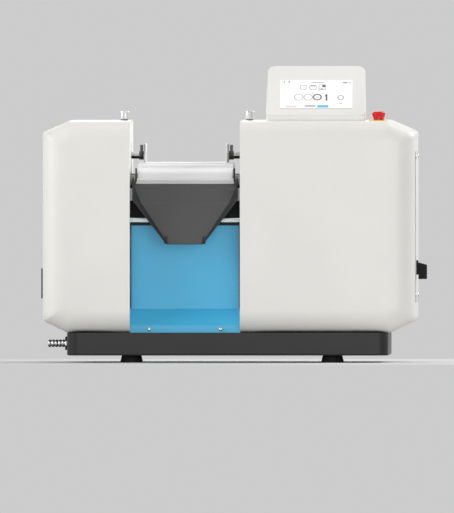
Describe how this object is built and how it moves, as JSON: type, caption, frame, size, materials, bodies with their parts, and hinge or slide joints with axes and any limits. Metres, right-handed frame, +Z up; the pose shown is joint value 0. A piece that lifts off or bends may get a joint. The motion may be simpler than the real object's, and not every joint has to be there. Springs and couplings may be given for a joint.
{
  "type": "three-roll mill",
  "caption": "Benchtop three-roll mill: geared polished rollers in a bay between two covers, with scraper chute, feed dams, touch display and stop button.",
  "frame": {"origin": "middle of the overall footprint, on the surface that the feet stand on", "axes": "+X to the operator's right, -Y to the operator, +Z up"},
  "size_m": [0.8116, 0.45, 0.6218],
  "materials": {
    "apron_bearing_blocks": "machined",
    "apron_bearings": "ground",
    "apron_gear": "hobbed",
    "apron_left_screw": "rolled thread",
    "apron_right_screw": "rolled thread",
    "apron_roller": "ground and polished",
    "base_pan": "satin dark grey paint",
    "centre_bearing_blocks": "machined",
    "centre_bearings": "ground",
    "centre_gears": "hobbed",
    "centre_pulley": "turned",
    "centre_roller": "ground and polished",
    "chassis_plate": "satin dark grey paint",
    "chute_pivot_pins": "ground",
    "cross_beam": "black anodised",
    "discharge_chute": "dark coated steel",
    "display_bracket": "black",
    "display_housing": "cream",
    "display_screen": "lit screen",
    "dome_screws": "bright",
    "drip_tray": "brushed sheet",
    "drive_belt": "matt",
    "drive_motor": "painted grey",
    "estop_head": "red",
    "estop_ring": "yellow",
    "estop_stem": "red",
    "feed_bearing_blocks": "machined",
    "feed_bearings": "ground",
    "feed_gear": "hobbed",
    "feed_left_screw": "rolled thread",
    "feed_right_screw": "rolled thread",
    "feed_roller": "ground and polished",
    "frame_tie_bars": "turned",
    "gap_motors": "black",
    "hose_tails": "plated",
    "inverter_unit": "dark grey",
    "left_cover": "satin cream paint",
    "left_dam_plate": "white",
    "left_dam_rod": "polished",
    "left_inner_skin": "satin cream paint",
    "left_lock_knob": "polished",
    "left_rear_panel": "satin cream paint",
    "left_side_frame": "milled",
    "motor_pulley": "turned",
    "motor_shaft": "ground",
    "power_inlet": "moulded",
    "right_cover": "satin cream paint",
    "right_dam_plate": "white",
    "right_dam_rod": "polished",
    "right_inner_skin": "satin cream paint",
    "right_lock_knob": "polished",
    "right_rear_panel": "satin cream paint",
    "right_side_frame": "milled",
    "rubber_feet": "matt black rubber",
    "scraper_blade": "ground spring steel",
    "side_access_panel": "satin cream paint",
    "splash_panel": "satin blue paint",
    "switch_lever": "black",
    "switch_plate": "black",
    "vent_grille": "moulded"
  },
  "bodies": {
    "frame": {"base_pan": "base_pan", "centre_bearing_blocks": "centre_bearing_blocks", "centre_bearings": "centre_bearings", "chassis_plate": "chassis_plate", "chute_pivot_pins": "chute_pivot_pins", "cross_beam": "cross_beam", "display_bracket": "display_bracket", "dome_screws": "dome_screws", "drip_tray": "drip_tray", "drive_belt": "drive_belt", "drive_motor": "drive_motor", "estop_ring": "estop_ring", "frame_tie_bars": "frame_tie_bars", "gap_motors": "gap_motors", "hose_tails": "hose_tails", "inverter_unit": "inverter_unit", "left_cover": "left_cover", "left_inner_skin": "left_inner_skin", "left_rear_panel": "left_rear_panel", "left_side_frame": "left_side_frame", "power_inlet": "power_inlet", "right_cover": "right_cover", "right_inner_skin": "right_inner_skin", "right_rear_panel": "right_rear_panel", "right_side_frame": "right_side_frame", "rubber_feet": "rubber_feet", "side_access_panel": "side_access_panel", "splash_panel": "splash_panel", "switch_plate": "switch_plate", "vent_grille": "vent_grille"},
    "apron_carriage": {"apron_bearing_blocks": "apron_bearing_blocks", "apron_bearings": "apron_bearings"},
    "feed_carriage": {"feed_bearing_blocks": "feed_bearing_blocks", "feed_bearings": "feed_bearings"},
    "apron_roll": {"apron_roller": "apron_roller", "apron_gear": "apron_gear"},
    "centre_roll": {"centre_roller": "centre_roller", "centre_gears": "centre_gears", "centre_pulley": "centre_pulley"},
    "feed_roll": {"feed_roller": "feed_roller", "feed_gear": "feed_gear"},
    "motor_rotor": {"motor_shaft": "motor_shaft", "motor_pulley": "motor_pulley"},
    "apron_left_drive": {"apron_left_screw": "apron_left_screw"},
    "apron_right_drive": {"apron_right_screw": "apron_right_screw"},
    "feed_left_drive": {"feed_left_screw": "feed_left_screw"},
    "feed_right_drive": {"feed_right_screw": "feed_right_screw"},
    "chute": {"scraper_blade": "scraper_blade", "discharge_chute": "discharge_chute"},
    "left_dam": {"left_dam_rod": "left_dam_rod"},
    "left_dam_leaf": {"left_dam_plate": "left_dam_plate"},
    "right_dam": {"right_dam_rod": "right_dam_rod"},
    "right_dam_leaf": {"right_dam_plate": "right_dam_plate"},
    "left_knob": {"left_lock_knob": "left_lock_knob"},
    "right_knob": {"right_lock_knob": "right_lock_knob"},
    "display": {"display_housing": "display_housing", "display_screen": "display_screen"},
    "stop_plunger": {"estop_stem": "estop_stem"},
    "stop_button": {"estop_head": "estop_head"},
    "mains_lever": {"switch_lever": "switch_lever"}
  },
  "joints": [
    {"name": "apron_gap", "type": "slide", "parent": "frame", "child": "apron_carriage", "axis": [0, -1, 0], "range_m": [0, 0.002]},
    {"name": "feed_gap", "type": "slide", "parent": "frame", "child": "feed_carriage", "axis": [0, 1, 0], "range_m": [0, 0.002]},
    {"name": "apron_spin", "type": "hinge", "parent": "apron_carriage", "child": "apron_roll", "pos_m": [-0.101, -0.115, 0.376], "axis": [1, 0, 0], "continuous": true},
    {"name": "centre_spin", "type": "hinge", "parent": "frame", "child": "centre_roll", "pos_m": [-0.101, -0.035, 0.38], "axis": [1, 0, 0], "continuous": true},
    {"name": "feed_spin", "type": "hinge", "parent": "feed_carriage", "child": "feed_roll", "pos_m": [-0.101, 0.0451, 0.38], "axis": [1, 0, 0], "continuous": true},
    {"name": "motor_spin", "type": "hinge", "parent": "frame", "child": "motor_rotor", "pos_m": [0.12, 0.06, 0.175], "axis": [1, 0, 0], "continuous": true},
    {"name": "apron_left_screw_turn", "type": "hinge", "parent": "frame", "child": "apron_left_drive", "pos_m": [-0.23585, -0.16, 0.376], "axis": [0, 1, 0], "range_deg": [-2, 482]},
    {"name": "apron_right_screw_turn", "type": "hinge", "parent": "frame", "child": "apron_right_drive", "pos_m": [0.03385, -0.16, 0.376], "axis": [0, 1, 0], "range_deg": [-2, 482]},
    {"name": "feed_left_screw_turn", "type": "hinge", "parent": "frame", "child": "feed_left_drive", "pos_m": [-0.23585, 0.09, 0.38], "axis": [0, 1, 0], "range_deg": [-2, 482]},
    {"name": "feed_right_screw_turn", "type": "hinge", "parent": "frame", "child": "feed_right_drive", "pos_m": [0.03385, 0.09, 0.38], "axis": [0, 1, 0], "range_deg": [-2, 482]},
    {"name": "chute_tilt", "type": "hinge", "parent": "frame", "child": "chute", "pos_m": [-0.101, -0.16, 0.35], "axis": [1, 0, 0], "range_deg": [-3.4, 12]},
    {"name": "left_dam_slide", "type": "slide", "parent": "frame", "child": "left_dam", "axis": [1, 0, 0], "range_m": [-0.004, 0.02]},
    {"name": "right_dam_slide", "type": "slide", "parent": "frame", "child": "right_dam", "axis": [-1, 0, 0], "range_m": [-0.004, 0.02]},
    {"name": "left_dam_lift", "type": "slide", "parent": "left_dam", "child": "left_dam_leaf", "axis": [0, 0, 1], "range_m": [0, 0.018]},
    {"name": "right_dam_lift", "type": "slide", "parent": "right_dam", "child": "right_dam_leaf", "axis": [0, 0, 1], "range_m": [0, 0.018]},
    {"name": "left_knob_turn", "type": "hinge", "parent": "frame", "child": "left_knob", "pos_m": [-0.23225, 0.06, 0.515], "axis": [0, 0, 1], "range_deg": [0, 720]},
    {"name": "right_knob_turn", "type": "hinge", "parent": "frame", "child": "right_knob", "pos_m": [0.03025, 0.06, 0.515], "axis": [0, 0, 1], "range_deg": [0, 720]},
    {"name": "display_tilt", "type": "hinge", "parent": "frame", "child": "display", "pos_m": [0.17285, -0.1, 0.5202], "axis": [1, 0, 0], "range_deg": [-20, 25]},
    {"name": "stop_push", "type": "slide", "parent": "frame", "child": "stop_plunger", "axis": [0, 0, 1], "range_m": [-0.004, 0], "stiffness_N_per_m": 1500, "springref_m": 0.002},
    {"name": "stop_twist", "type": "hinge", "parent": "stop_plunger", "child": "stop_button", "pos_m": [0.30465, -0.12, 0.52], "axis": [0, 0, 1], "range_deg": [0, 45], "stiffness_Nm_per_rad": 0.02},
    {"name": "switch_turn", "type": "hinge", "parent": "frame", "child": "mains_lever", "pos_m": [0.39, -0.1, 0.1995], "axis": [1, 0, 0], "range_deg": [0, 90]}
  ],
  "couplings": [
    {"joint": "feed_spin", "follows": "centre_spin", "ratio": -0.33333},
    {"joint": "apron_spin", "follows": "centre_spin", "ratio": -3},
    {"joint": "motor_spin", "follows": "centre_spin", "ratio": 1.5},
    {"joint": "apron_left_screw_turn", "follows": "apron_gap", "rad_per_m": 4188.8},
    {"joint": "apron_right_screw_turn", "follows": "apron_gap", "rad_per_m": 4188.8},
    {"joint": "feed_left_screw_turn", "follows": "feed_gap", "rad_per_m": 4188.8},
    {"joint": "feed_right_screw_turn", "follows": "feed_gap", "rad_per_m": 4188.8}
  ]
}
